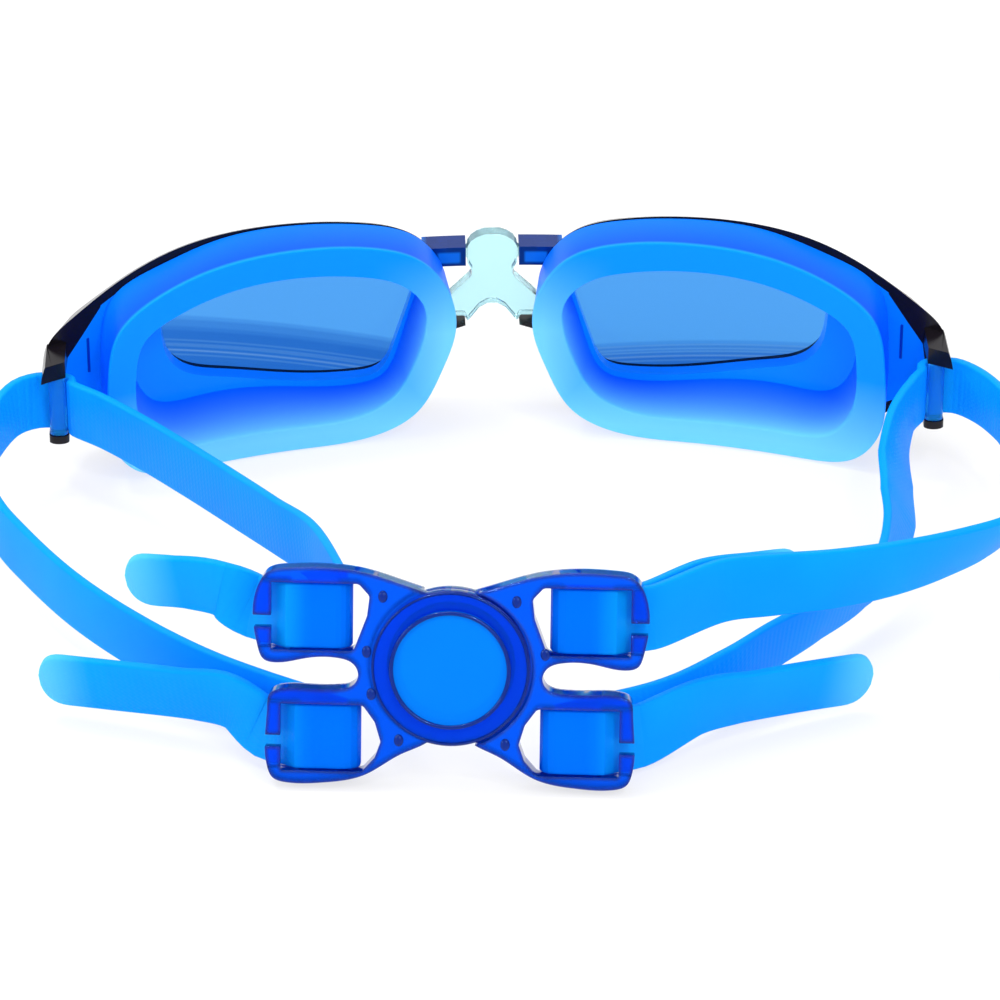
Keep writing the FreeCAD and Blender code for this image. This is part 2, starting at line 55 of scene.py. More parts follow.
class Wire:
    # one value on its way through a material's nodes
    def __init__(self, finish, socket):
        self.finish, self.socket = finish, socket

    def sum(self, kind, a, b=None, clamp=False):
        return self.finish.node("ShaderNodeMath", {"operation": kind, "use_clamp": clamp},
                                {0: a} if b is None else {0: a, 1: b})

    def __add__(self, other): return self.sum("ADD", self, other)
    def __radd__(self, other): return self.sum("ADD", other, self)
    def __sub__(self, other): return self.sum("SUBTRACT", self, other)
    def __rsub__(self, other): return self.sum("SUBTRACT", other, self)
    def __mul__(self, other): return self.sum("MULTIPLY", self, other)
    def __rmul__(self, other): return self.sum("MULTIPLY", other, self)
    def __truediv__(self, other): return self.sum("DIVIDE", self, other)
    def __pow__(self, other): return self.sum("POWER", self, other)

    def sine(self): return self.sum("SINE", self)
    def size(self): return self.sum("ABSOLUTE", self)
    def root(self): return self.sum("SQRT", self)
    def larger(self, other): return self.sum("MAXIMUM", self, other)
    def clipped(self): return self.sum("ADD", self, 0.0, clamp=True)


class Finish:
    # a material, or the world, and the nodes it is made of
    def __init__(self, name, kind="materials"):
        self.material = getattr(bpy.data, kind).new(name)
        self.material.use_nodes = True
        self.tree = self.material.node_tree
        self.tree.nodes.clear()

    def node(self, kind, settings=None, values=None, out=0):
        made = self.tree.nodes.new(kind)
        for key, value in (settings or {}).items():
            if key == "stops":
                ramp = made.color_ramp.elements
                while len(ramp) < len(value):
                    ramp.new(1.0)
                for element, (place, colour) in zip(ramp, value):
                    element.position, element.color = place, colour
            else:
                setattr(made, key, value)
        for key, value in (values or {}).items():
            if isinstance(value, Wire):
                self.tree.links.new(value.socket, made.inputs[key])
            else:
                made.inputs[key].default_value = value
        return Wire(self, made.outputs[out]) if len(made.outputs) else None

    def place(self):
        return self.node("ShaderNodeTexCoord", out="Object")

    def axes(self):
        split = self.node("ShaderNodeSeparateXYZ", None, {0: self.place()})
        return [Wire(self, split.socket.node.outputs[i]) for i in range(3)]

    def noise(self, scale, detail=3.0, roughness=0.5):
        return self.node("ShaderNodeTexNoise", None,
                         {"Vector": self.place(), "Scale": scale, "Detail": detail, "Roughness": roughness})

    def carried(self, name):
        return self.node("ShaderNodeAttribute", {"attribute_name": name}, out="Fac")

    def mixed(self, share, first, second):
        # the mix node's two colours are its inputs 6 and 7, and the mixed colour its output 2
        return self.node("ShaderNodeMix", {"data_type": "RGBA"},
                         {"Factor": share, 6: first, 7: second}, out=2)

    def bump(self, height, strength, distance):
        return self.node("ShaderNodeBump", None,
                         {"Height": height, "Strength": strength, "Distance": distance})

    def grain(self, scale, strength, detail=2.0):
        # a fine unevenness of the surface
        return self.bump(self.noise(scale, detail), strength, grainDepth)

    def surface(self, shader):
        self.node("ShaderNodeOutputMaterial", None, {"Surface": shader})
        return self.material


def placeOfNose():
    # the middle of the nose, worked out from the two strap bars, which lie at a known place from it
    boxes = [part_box(side + "_strap_bar") for side in ("left", "right")]
    middle = sum((low + high for low, high in boxes), Vector()) / 4
    return middle - Vector((0, strapSize["barY"], strapSize["midZ"])) * mm


# the straps, and the temple bars that they go round, in mm and degrees
strapSize = {"width": 11.0, "thick": 1.6, "gap": 0.3, "corner": 0.45, "cornerSteps": 3,
             "sharp": 50, "step": 1.3,
             "barX": 79.5, "barY": 17.3568, "barHalfWidth": 1.6, "barHalfDepth": 1.0, "midZ": 17.7,
             "barFrom": -20, "barSweep": 115, "barParts": 6,
             "tipWidth": 2.8, "tipLength": 4.6, "tipSquareness": 2.4, "tipFade": 9.0,
             "tipShares": (0.012, 0.035, 0.07, 0.12, 0.19, 0.28, 0.4, 0.54, 0.74, 1.0)}
cupSize = {"wrapY": -115.0, "rimRadius": 150.0, "skirtDepth": 10.0}
noseMiddle = placeOfNose()


def fromNose(x, y, z):
    return Vector((x, y, z)) * mm + noseMiddle


blueGloss = {"Specular Tint": (0.06, 0.42, 1.0, 1), "Specular IOR Level": 0.4}


def siliconeSkin(made, colour, look, normal):
    # satin skin, with light let through a little from behind, with a little of what lies behind it, and a
    # faint painted glow in its own colour
    # the emission is painted light: a faint glow in the skin's own colour, though the silicone is no lamp
    skin = made.node("ShaderNodeBsdfPrincipled", None,
                     {"Base Color": colour, "Roughness": look["roughness"], "Normal": normal, "IOR": 1.41,
                      "Emission Color": colour, "Emission Strength": look["lit"], **blueGloss})
    glow = made.node("ShaderNodeBsdfTranslucent", None, {"Color": colour, "Normal": normal})
    body = made.node("ShaderNodeMixShader", None, {0: look["glow"], 1: skin, 2: glow})
    clear = made.node("ShaderNodeBsdfTransparent", None, {"Color": look["clearTint"]})
    return made.surface(made.node("ShaderNodeMixShader", None, {0: look["clear"], 1: body, 2: clear}))


strapLook = {"shade": (0.002, 0.42, 0.98, 1), "light": (0.006, 0.52, 1.0, 1), "deep": (0.0, 0.24, 0.98, 1),
             "tip": (0.18, 0.8, 1.0, 1), "clearTint": (0.02, 0.55, 1.0, 1), "cloud": 60.0, "roughness": 0.4,
             "glow": 0.42, "clear": 0.16, "lit": 0.06, "ribPitch": 1.1 * mm, "ribDepth": 0.08 * mm,
             "ribStrength": 0.35, "dotPitch": 0.16, "dotShare": 0.5, "innerFrom": 0.6, "innerRise": 4.0,
             "ribEnd": 0.86, "ribFall": 12.0, "grain": 2600.0, "grainShare": 0.15}


def strapFinish(look):
    # cloudy azure, paler at the tips, darker blue with painted shade where the strap lies folded double under
    # the clip, with fine cross ribs on the inner side
    made = Finish("strapSilicone")
    colour = made.mixed(made.noise(look["cloud"]), look["shade"], look["light"])
    # painted shade: darker blue where the strap lies folded double under the clip
    colour = made.mixed(made.carried("strapDoubled"), colour, look["deep"])
    colour = made.mixed(made.carried("strapTip"), colour, look["tip"])
    along = made.carried("strapAlong") * (2 * math.pi / look["ribPitch"])
    across = made.carried("strapAcross")
    inner = ((made.carried("strapSide") - look["innerFrom"]) * look["innerRise"]).clipped()
    inner *= ((look["ribEnd"] - across.size()) * look["ribFall"]).clipped()
    dots = along.sine() * (across * (2 * math.pi / look["dotPitch"])).sine()
    ribs = dots * look["dotShare"] + along.sine() * (1 - look["dotShare"])
    height = made.noise(look["grain"], 2.0) * look["grainShare"] + ribs * inner
    return siliconeSkin(made, colour, look, made.bump(height, look["ribStrength"], look["ribDepth"]))


sealLook = {"flange": (0.003, 0.27, 0.96, 1), "wall": (0.0, 0.12, 0.95, 1), "rim": (0.006, 0.42, 1.0, 1),
            "lowFlange": (0.0, 0.14, 0.98, 1), "lowRimLight": (0.27, 0.86, 1.0, 1),
            "clearTint": (0.02, 0.5, 1.0, 1),
            "roughness": 0.36, "glow": 0.45, "clear": 0.06, "lit": 0.12, "rimDepth": 1.1, "rimSoft": 0.7,
            "lowTop": 19.0, "lowFall": 16.0, "noseReach": 22.0, "noseFade": 13.0, "noseTop": 38.0,
            "noseFall": 16.0, "rimPower": 1.3}


def sealFinish(look):
    # darker blue walls with an azure rim above and painted shade that darkens them next to the rim; painted
    # light turns them pale towards the rim below and by the nose
    made = Finish("sealSilicone")
    x, y, z = made.axes()
    aside = x * 1000 - noseMiddle.x / mm
    ahead = y * 1000 - (noseMiddle.y / mm + cupSize["wrapY"])
    depth = (aside * aside + ahead * ahead).root() - cupSize["rimRadius"]
    nearRim = (1 - depth / cupSize["skirtDepth"]).clipped()
    onRim = ((look["rimDepth"] - depth) / look["rimSoft"]).clipped()
    low = ((look["lowTop"] - z * 1000) / look["lowFall"]).clipped()
    nose = ((look["noseReach"] - aside.size()) / look["noseFade"]).clipped()
    nose *= ((look["noseTop"] - z * 1000) / look["noseFall"]).clipped()
    # painted shade: the upper walls turn darker next to the rim, as shade under its lip
    upper = made.mixed(onRim, made.mixed(nearRim, look["flange"], look["wall"]), look["rim"])
    # painted light: lower down, and by the nose, the walls turn pale towards the rim, as light shining
    # through the silicone
    lower = made.mixed(nearRim ** look["rimPower"], look["lowFlange"], look["lowRimLight"])
    colour = made.mixed(low.larger(nose), upper, lower)
    return siliconeSkin(made, colour, look, made.grain(1800.0, 0.06))


clearLook = {"cloud": 90.0, "cloudShade": 0.9}


def clearFinish(name, colour, roughness, transmission, ior=1.45, coat=0.0):
    # one see-through colour with a faint cloud in it
    made = Finish(name)
    cloud = [clearLook["cloudShade"] * part for part in colour[:3]] + [1]
    tint = made.mixed(made.noise(clearLook["cloud"]), colour, cloud)
    normal = made.grain(500.0, 0.06)
    return made.surface(made.node("ShaderNodeBsdfPrincipled", None,
                                  {"Base Color": tint, "Roughness": roughness, "IOR": ior, "Normal": normal,
                                   "Transmission Weight": transmission, "Coat Weight": coat, **blueGloss}))


clipPlace = {"middle": (-11.0, -77.8, 19.95), "lean": 17.0, "turn": -4.6, "thick": 4.0, "barThick": 1.6}
clipFrame = (Matrix.Translation(fromNose(*clipPlace["middle"]))
             @ Matrix.Rotation(math.radians(clipPlace["turn"]), 4, "Z")
             @ Matrix.Rotation(math.radians(90 - clipPlace["lean"]), 4, "X"))
# the clip's own blue, the navy of its painted edge shade, and how the edges are found
clipLook = {"flat": (0.001, 0.105, 0.96, 1), "edge": (0.0, 0.012, 0.22, 1), "edgeShadeShare": 0.92, "clear": 0.75,
            "round": 1.2, "edgeGain": 14.0, "coat": 0.35}


def clipFinish(look):
    # see-through blue, with painted shade that turns the rounded edges and the sides navy, where clear
    # plastic looks dark when looked through, and glossier there
    made = Finish("clipPlastic")
    rounded = made.node("ShaderNodeBevel", {"samples": 8}, {"Radius": look["round"] * mm})
    turned = made.node("ShaderNodeVectorTransform",
                       {"vector_type": "NORMAL", "convert_from": "WORLD", "convert_to": "OBJECT"},
                       {"Vector": rounded})
    level = made.node("ShaderNodeVectorMath", {"operation": "DOT_PRODUCT"},
                      {0: turned, 1: tuple(clipFrame.to_3x3().col[2])}, 1)
    edge = ((1 - level.size()) * look["edgeGain"]).clipped()
    # painted shade: navy mixed in on the rounded edges and the sides
    tint = made.mixed(edge * look["edgeShadeShare"], look["flat"], look["edge"])
    return made.surface(made.node("ShaderNodeBsdfPrincipled", None,
                                  {"Base Color": tint, "Roughness": 0.03, "IOR": 1.45,
                                   "Transmission Weight": look["clear"], "Coat Weight": edge * look["coat"],
                                   "Coat Roughness": 0.04, "Normal": rounded, **blueGloss}))


# the lens tint, with its painted reflection bands and painted highlight lines, heights in mm
lensLook = {"upper": (0.075, 0.33, 0.80, 1), "lower": (0.018, 0.14, 0.55, 1),
            "bandHeight": 23.0, "bandAside": 52.0, "bandFall": 0.27, "bandSoft": 0.5, "secondBand": 2.3,
            "firstShare": 0.65, "steps": (5.4, 6.6, 7.6), "stepWidth": 0.3, "stepShare": 0.35,
            "stepHighlight": (0.30, 0.56, 0.85, 1)}
rightLensLook = {**lensLook, "bandHeight": 16.0, "bandFall": 0.12, "steps": (1.2, 2.6, 3.6)}


def lensFinish(name, look):
    # graded tint, pale above; the darker bands below, which come lower towards the nose, are a painted
    # reflection, and the pale lines are painted highlights of steps that are not cut
    made = Finish(name)
    x, y, z = made.axes()
    aside = (x * 1000 - noseMiddle.x / mm).size()
    bandTop = look["bandHeight"] - (look["bandAside"] - aside) * look["bandFall"]
    below = bandTop - (z * 1000 - noseMiddle.z / mm)
    first = (below / look["bandSoft"]).clipped()
    second = ((below - look["secondBand"]) / look["bandSoft"]).clipped()
    under = first * look["firstShare"] + second * (1 - look["firstShare"])
    # painted reflection: the darker bands below
    tint = made.mixed(under, look["upper"], look["lower"])
    # painted highlight: pale lines where the lens's steps would catch the light
    for level in look["steps"]:
        line = (1 - (below - level).size() / look["stepWidth"]).clipped()
        tint = made.mixed(line * look["stepShare"], tint, look["stepHighlight"])
    return made.surface(made.node("ShaderNodeBsdfPrincipled", None,
                                  {"Base Color": tint, "Roughness": 0.02, "IOR": 1.3,
                                   "Transmission Weight": 1.0, "Normal": made.grain(300.0, 0.03),
                                   **blueGloss}))


frameLook = {"side": (0.002, 0.27, 1.0, 1), "socket": (0.001, 0.02, 0.17, 1), "block": (0.004, 0.16, 0.72, 1),
             "clear": 0.35, "lit": 0.14, "socketReach": 14.0, "socketSoft": 2.0,
             "blockMiddle": (8.0, 32.2), "blockHalf": (2.3, 1.3), "blockSoft": 0.5}


def frameFinish(look):
    # blue moulding, nearly navy in the sockets beside the nose, each with a lighter block on it, with a faint
    # painted glow in its own colour
    made = Finish("framePlastic")
    x, y, z = made.axes()
    aside, up = (x * 1000 - noseMiddle.x / mm).size(), z * 1000 - noseMiddle.z / mm
    socket = ((look["socketReach"] - aside) / look["socketSoft"]).clipped()
    within = ((look["blockHalf"][0] - (aside - look["blockMiddle"][0]).size()) / look["blockSoft"]).clipped()
    within *= ((look["blockHalf"][1] - (up - look["blockMiddle"][1]).size()) / look["blockSoft"]).clipped()
    colour = made.mixed(within, made.mixed(socket, look["side"], look["socket"]), look["block"])
    # the emission is painted light: a faint glow in the moulding's own colour
    return made.surface(made.node("ShaderNodeBsdfPrincipled", None,
                                  {"Base Color": colour, "Roughness": 0.12, "IOR": 1.45,
                                   "Transmission Weight": look["clear"], "Emission Color": colour,
                                   "Emission Strength": look["lit"],
                                   "Normal": made.grain(500.0, 0.06), **blueGloss}))


shellLook = {"dark": (0.003, 0.002, 0.004, 1), "worn": (0.008, 0.006, 0.009, 1), "scuff": 400.0,
             "roughness": 0.16, "scuffRoughness": 0.1, "gloss": 0.22}


def shellFinish(look):
    # glossy black, unevenly worn
    made = Finish("shellBlack")
    scuff = made.noise(look["scuff"], 4.0)
    return made.surface(made.node("ShaderNodeBsdfPrincipled", None,
                                  {"Base Color": made.mixed(scuff, look["dark"], look["worn"]),
                                   "Roughness": scuff * look["scuffRoughness"] + look["roughness"],
                                   "Specular IOR Level": look["gloss"],
                                   "Normal": made.grain(900.0, 0.05, 3.0)}))


strapSilicone = strapFinish(strapLook)
sealSilicone = sealFinish(sealLook)
clipPlastic = clipFinish(clipLook)
# painted shade: a navy finish on the beads and dimples, for the dark look of the clip's rims and hollows
clipEdge = clearFinish("clipEdge", (0.0, 0.02, 0.3, 1), 0.04, 0.5, coat=0.25)
buttonPlastic = clearFinish("buttonPlastic", (0.001, 0.23, 1.0, 1), 0.04, 0.35)
framePlastic = frameFinish(frameLook)
lensPlastic = {"left": lensFinish("lensPlasticLeft", lensLook),
               "right": lensFinish("lensPlasticRight", rightLensLook)}
barPlastic = clearFinish("barPlastic", (0.02, 0.42, 1.0, 1), 0.05, 0.7)
ribPlastic = clearFinish("ribPlastic", (0.001, 0.05, 0.5, 1), 0.2, 0.2)
bridgeRubber = clearFinish("bridgeRubber", (0.62, 0.98, 1.0, 1), 0.12, 0.9, 1.41)
shellBlack = shellFinish(shellLook)
print("finishes made")


def newPiece(name, mesh, finish, slotName, *nodes):
    made = bpy.data.objects.new(name, mesh)
    bpy.context.scene.collection.objects.link(made)
    mesh.materials.clear()
    mesh.materials.append(finish)
    if nodes:
        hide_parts(*nodes)
    return made


joining = {"near": 0.002 * mm, "flat": 0.6}


def copyOfNode(node, name):
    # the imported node's mesh, with its loose triangles joined and its flats made whole
    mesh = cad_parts[node].data.copy()
    mesh.name = name
    work = bmesh.new()
    work.from_mesh(mesh)
    bmesh.ops.remove_doubles(work, verts=work.verts, dist=joining["near"])
    bmesh.ops.dissolve_limit(work, angle_limit=math.radians(joining["flat"]), verts=work.verts,
                             edges=work.edges, use_dissolve_boundaries=False)
    work.to_mesh(mesh)
    work.free()
    return mesh


def soften(piece, width, segments=3, sharp=32.0):
    # rounded edges where faces meet at more than this angle
    for face in piece.data.polygons:
        face.use_smooth = True
    piece.data.set_sharp_from_angle(angle=math.radians(sharp))
    bevel = piece.modifiers.new("roundedEdges", "BEVEL")
    bevel.width, bevel.segments, bevel.limit_method = width, segments, "ANGLE"
    bevel.angle_limit = math.radians(sharp)
    piece.modifiers.new("evenShading", "WEIGHTED_NORMAL").keep_sharp = True
    return piece


arms = {"upper": {"outer": 29.6, "bar": 18.5, "v": 8.3}, "lower": {"outer": 28.0, "bar": 17.0, "v": -12.3}}
upright, leaning = (0.0, 0.0, 1.0), (0.0, -0.23, 0.97)
routes = {
    "leftUpper": [((-33.0, -50.0, 25.6), (-0.12, 0.22, 0.97)), ((-39.3, -37.8, 23.5), (-0.1, 0.14, 0.98)),
                  ((-46.5, -25.0, 21.5), upright), ((-55.7, -9.8, 19.5), upright),
                  ((-65.0, 4.0, 18.0), upright)],
    "leftUpperTail": [((-64.4, -61.6, 28.3), leaning), ((-55.6, -64.4, 29.0), leaning),
                      ((-48.8, -67.2, 29.2), (0.0, -0.1, 0.99))],
    "leftLower": [((-90.4, 11.0, 16.6), upright), ((-92.4, 3.0, 14.8), upright),
                  ((-91.8, -6.0, 12.8), upright), ((-88.6, -14.5, 11.0), upright),
                  ((-83.6, -23.2, 10.0), upright), ((-76.2, -35.1, 9.5), upright),
                  ((-69.0, -44.2, 9.0), upright), ((-59.6, -54.1, 8.5), upright),
                  ((-50.6, -62.0, 8.0), (-0.05, 0.1, 0.99)), ((-41.0, -69.0, 7.8), (-0.1, 0.2, 0.98))],
    "leftLowerTail": [((-79.8, -58.8, 7.4), leaning), ((-68.0, -62.6, 8.0), leaning),
                      ((-55.0, -67.4, 9.0), leaning), ((-47.5, -70.8, 9.4), (0.0, -0.05, 1.0))],
    "rightUpper": [((90.6, 8.0, 17.7), upright), ((93.2, -3.0, 17.8), (0.2, 0.0, 0.98)),
                   ((93.6, -15.0, 18.4), (0.42, 0.0, 0.9)), ((91.0, -28.0, 19.4), (0.5, -0.22, 0.84)),
                   ((84.4, -39.5, 20.7), (0.33, -0.37, 0.87)), ((76.2, -47.0, 21.9), (0.2, -0.28, 0.94)),
                   ((66.0, -54.0, 23.2), (0.08, -0.12, 0.99)), ((54.0, -60.2, 24.8), (0.0, 0.04, 1.0)),
                   ((43.0, -64.2, 26.3), (0.0, 0.15, 0.98)), ((34.5, -67.4, 27.3), (0.0, 0.22, 0.97))],
    "rightUpperTail": [((48.5, -58.6, 24.4), (0.0, 0.12, 0.99)), ((40.0, -62.2, 25.4), (0.0, 0.18, 0.98)),
                       ((31.5, -65.6, 26.3), (0.0, 0.24, 0.97))],
    "rightLower": [((24.0, -73.6, 7.6), (0.0, 0.28, 0.96)), ((35.3, -64.6, 8.0), (0.0, 0.12, 0.99)),
                   ((44.6, -54.6, 8.6), (0.1, -0.12, 0.98)), ((54.0, -46.4, 9.2), (0.2, -0.24, 0.95)),
                   ((62.4, -37.0, 10.0), (0.2, -0.14, 0.96)), ((67.6, -26.0, 11.0), (-0.2, 0.0, 0.97)),
                   ((69.6, -15.6, 12.4), (-0.5, 0.0, 0.86)), ((70.2, -4.8, 14.2), (-0.5, 0.0, 0.86)),
                   ((71.6, 4.6, 16.4), (-0.25, 0.0, 0.97))],
    "rightLowerTail": [((60.3, -62.6, 6.9), leaning), ((48.2, -67.0, 7.8), leaning),
                       ((38.7, -71.0, 8.6), leaning), ((30.4, -74.8, 9.2), (0.0, -0.05, 1.0))]}


def stretch(name):
    return [(fromNose(*point), Vector(width)) for point, width in routes[name]]


# how a strap goes in under the open bar end, and how a tail lies behind the fold, mm
foldSize = {"slotSpare": 1.3, "sunk": 0.64, "outside": 3.4, "outsideDrop": 3.9, "edge": 0.2, "edgeDrop": 0.7,
            "parts": 6, "tailInside": 1.0, "tailOutside": 1.6, "tailDrop": 4}


def throughClip(side, arm, slope, foldEnd, tailBehind=False):
    # in under the open bar end, over the closed bar and round its inner edge
    half, gap, thick = clipPlace["thick"] / 2, strapSize["gap"], strapSize["thick"]
    outer, bar, slot = arm["outer"], arm["bar"], thick + foldSize["slotSpare"]
    over = -half + clipPlace["barThick"] + gap + thick / 2
    behind = -gap - foldSize["sunk"] * thick
    way = [(outer + foldSize["outside"], behind - foldSize["outsideDrop"] * slope),
           (outer + foldSize["edge"], behind - foldSize["edgeDrop"] * slope),
           (outer - slot / 2, (over + behind) / 2), (outer - slot + foldSize["edge"], over),
           ((outer + bar) / 2, over)]
    radius = clipPlace["barThick"] / 2 + gap + thick / 2
    midU, midW = bar + radius / 4, -half + clipPlace["barThick"] / 2
    for part in range(foldSize["parts"] + 1):
        turn = math.radians(foldEnd * part / foldSize["parts"])
        way.append((midU - radius * math.sin(turn), midW + radius * math.cos(turn)))
    if tailBehind:
        way += [((outer + bar) / 2, midW - radius), (outer - foldSize["tailInside"], midW - radius - gap),
                (outer + foldSize["tailOutside"], midW - radius - foldSize["tailDrop"] * gap)]
    up = clipFrame.to_3x3() @ Vector((0, 1, 0))
    return [(clipFrame @ (Vector((side * u, arm["v"], w)) * mm), up.copy()) for u, w in way]


# how far outwards and forwards of a temple bar its strap passes: once before the bar and twice after it, mm
besideBar = {"left": ((-8.0, -5.8), (3.7, 2.1), (7.5, -0.4)),
             "right": ((-5.1, -5.4), (3.7, 1.9), (7.5, -1.8))}


def byBar(sign, outwards, forwards):
    # a place this far from the temple bar, at the bar's height
    return (fromNose(sign * (strapSize["barX"] + outwards), strapSize["barY"] + forwards, strapSize["midZ"]),
            Vector(upright))


def roundBar(side, sign):
    # past the temple bar, round it in front, and away again
    off = strapSize["gap"] + strapSize["thick"] / 2
    before, *after = [byBar(sign, *place) for place in besideBar[side]]
    way = [before]
    for part in range(strapSize["barParts"] + 1):
        turn = math.radians(strapSize["barFrom"] + strapSize["barSweep"] * part / strapSize["barParts"])
        way.append(byBar(sign, -(strapSize["barHalfWidth"] + off) * math.cos(turn),
                         (strapSize["barHalfDepth"] + off) * math.sin(turn)))
    return way + after


def smoothPath(stations):
    # evenly spaced places on a smooth line through the stations: point, width direction
    points, widths = (list(part) for part in zip(*stations))
    points = [points[0] * 2 - points[1]] + points + [points[-1] * 2 - points[-2]]
    path = []
    for i in range(1, len(points) - 2):
        p0, p1, p2, p3 = points[i - 1:i + 3]
        t1 = math.sqrt((p1 - p0).length)
        t2 = t1 + math.sqrt((p2 - p1).length)
        t3 = t2 + math.sqrt((p3 - p2).length)
        steps = max(1, round((p2 - p1).length / (strapSize["step"] * mm)))
        for part in range(steps):
            t = t1 + (t2 - t1) * part / steps
            a1 = p0.lerp(p1, t / t1)
            a2 = p1.lerp(p2, (t - t1) / (t2 - t1))
            a3 = p2.lerp(p3, (t - t2) / (t3 - t2))
            b1 = a1.lerp(a2, t / t2)
            b2 = a2.lerp(a3, (t - t1) / (t3 - t1))
            path.append((b1.lerp(b2, (t - t1) / (t2 - t1)), widths[i - 1].lerp(widths[i], part / steps)))
    path.append((points[-2], widths[-1]))
    return path


def withTips(stations):
    # close places at both ends, where the strap is rounded
    for end in (0, -1):
        first, width = stations[end]
        second = stations[1 if end == 0 else -2][0]
        way = (second - first).normalized() * strapSize["tipLength"] * mm
        added = [(first + way * share, width) for share in strapSize["tipShares"]]
        if end == 0:
            stations = stations[:1] + added + stations[1:]
        else:
            stations = stations[:-1] + added[::-1] + stations[-1:]
    return stations


# how near to the clip a strap takes its painted shade, mm
clipShadeReach = {"inside": 2.0, "fade": 4.0, "depth": 6}


def strapPlaces(stations):
    # one placing matrix for every section, with the values that it carries for the finish
    path = smoothPath(withTips(stations))
    gone = [0.0]
    for here, there in zip(path, path[1:]):
        gone.append(gone[-1] + (there[0] - here[0]).length)
    places = []
    for i, (point, width) in enumerate(path):
        way = (path[min(i + 1, len(path) - 1)][0] - path[max(i - 1, 0)][0]).normalized()
        across = (width - way * width.dot(way)).normalized()
        thick = way.cross(across)
        fromTip = min(gone[i], gone[-1] - gone[i]) / mm
        left = 1 - min(fromTip / strapSize["tipLength"], 1.0)
        power = strapSize["tipSquareness"]
        share = max(strapSize["tipWidth"] / strapSize["width"], (1 - left ** power) ** (1 / power))
        matrix = Matrix((across, thick, way)).transposed().to_4x4()
        matrix.translation = point
        u, _, w = clipFrame.inverted() @ point / mm
        # painted shade share: 1 well inside the clip, where the strap lies folded double, fading out towards
        # the clip's outer ends
        clipShadeShare = (arms["upper"]["outer"] - clipShadeReach["inside"] - abs(u)) / clipShadeReach["fade"]
        clipShadeShare = min(1.0, max(0.0, clipShadeShare)) if abs(w) < clipShadeReach["depth"] else 0.0
        marks = {"strapAlong": gone[i], "strapDoubled": clipShadeShare,
                 "strapTip": max(0.0, 1 - fromTip / strapSize["tipFade"])}
        places.append((matrix @ Matrix.Diagonal((share, 1, 1, 1)), marks))
    return places


def strapPiece(name, places, innerSide, *nodes):
    # one cross section with rounded corners, drawn on from place to place
    work = bmesh.new()
    carried = {mark: work.verts.layers.float.new(mark) for mark in places[0][1]}
    across = work.verts.layers.float.new("strapAcross")
    side = work.verts.layers.float.new("strapSide")
    bmesh.ops.create_grid(work, x_segments=1, y_segments=1, size=0.5)
    bmesh.ops.scale(work, vec=(strapSize["width"] * mm, strapSize["thick"] * mm, 1), verts=work.verts)
    bmesh.ops.bevel(work, geom=work.verts, offset=strapSize["corner"] * mm, offset_type="OFFSET",
                    segments=strapSize["cornerSteps"], profile=0.5, affect="VERTICES", material=-1)
    for vert in work.verts:
        vert[across] = vert.co.x / (strapSize["width"] / 2 * mm)
        vert[side] = innerSide * vert.co.y / (strapSize["thick"] / 2 * mm)
        for mark, value in places[0][1].items():
            vert[carried[mark]] = value
    end = work.faces[:][0]
    bmesh.ops.transform(work, matrix=places[0][0], verts=end.verts)
    for (before, _), (place, marks) in zip(places, places[1:]):
        grown = bmesh.ops.extrude_face_region(work, geom=[end])
        end = [part for part in grown["geom"] if isinstance(part, bmesh.types.BMFace)][0]
        bmesh.ops.transform(work, matrix=place @ before.inverted(), verts=end.verts)
        for vert in end.verts:
            for mark, value in marks.items():
                vert[carried[mark]] = value
    bmesh.ops.recalc_face_normals(work, faces=work.faces)
    mesh = bpy.data.meshes.new(name)
    work.to_mesh(mesh)
    work.free()
    for face in mesh.polygons:
        face.use_smooth = True
    mesh.set_sharp_from_angle(angle=math.radians(strapSize["sharp"]))
    return newPiece(name, mesh, strapSilicone, "strap_silicone", *nodes)


# how steeply a strap leaves the clip, and how far round the closed bar it folds, in degrees
slopes = {"alone": 0.8, "stacked": 0.45}
folds = {"leftUpper": 110, "leftLower": 150, "rightLower": 155, "rightUpper": 180}
leftWay = (stretch("leftUpperTail") + throughClip(-1, arms["upper"], slopes["alone"], folds["leftUpper"])
           + stretch("leftUpper") + roundBar("left", -1) + stretch("leftLower")
           + throughClip(-1, arms["lower"], slopes["alone"], folds["leftLower"])[::-1]
           + stretch("leftLowerTail")[::-1])
rightWay = (stretch("rightLowerTail") + throughClip(1, arms["lower"], slopes["alone"], folds["rightLower"])
            + stretch("rightLower") + roundBar("right", 1) + stretch("rightUpper")
            + throughClip(1, arms["upper"], slopes["stacked"], folds["rightUpper"], True)
            + stretch("rightUpperTail")[::-1])
leftPlaces, rightPlaces = strapPlaces(leftWay), strapPlaces(rightWay)


def firstPast(places, y, start):
    # the first section, from start on, that lies in front of this y
    return next(i for i in range(start, len(places)) if places[i][0].translation.y > y * mm)


def firstBehind(places, y, start):
    # the first section, from start on, that lies behind this y
    return next(i for i in range(start, len(places)) if places[i][0].translation.y < y * mm)


# y where a strap passes from one pair of bodies to the next and where each bend ends, and x between which
# the swivel twists it, mm
seams = {"clip": -56.0, "left": -50.0, "right": -40.0, "waist": -14.0, "twist": (40.0, 17.0), "spare": 2.0,
         "cup": 30.0}


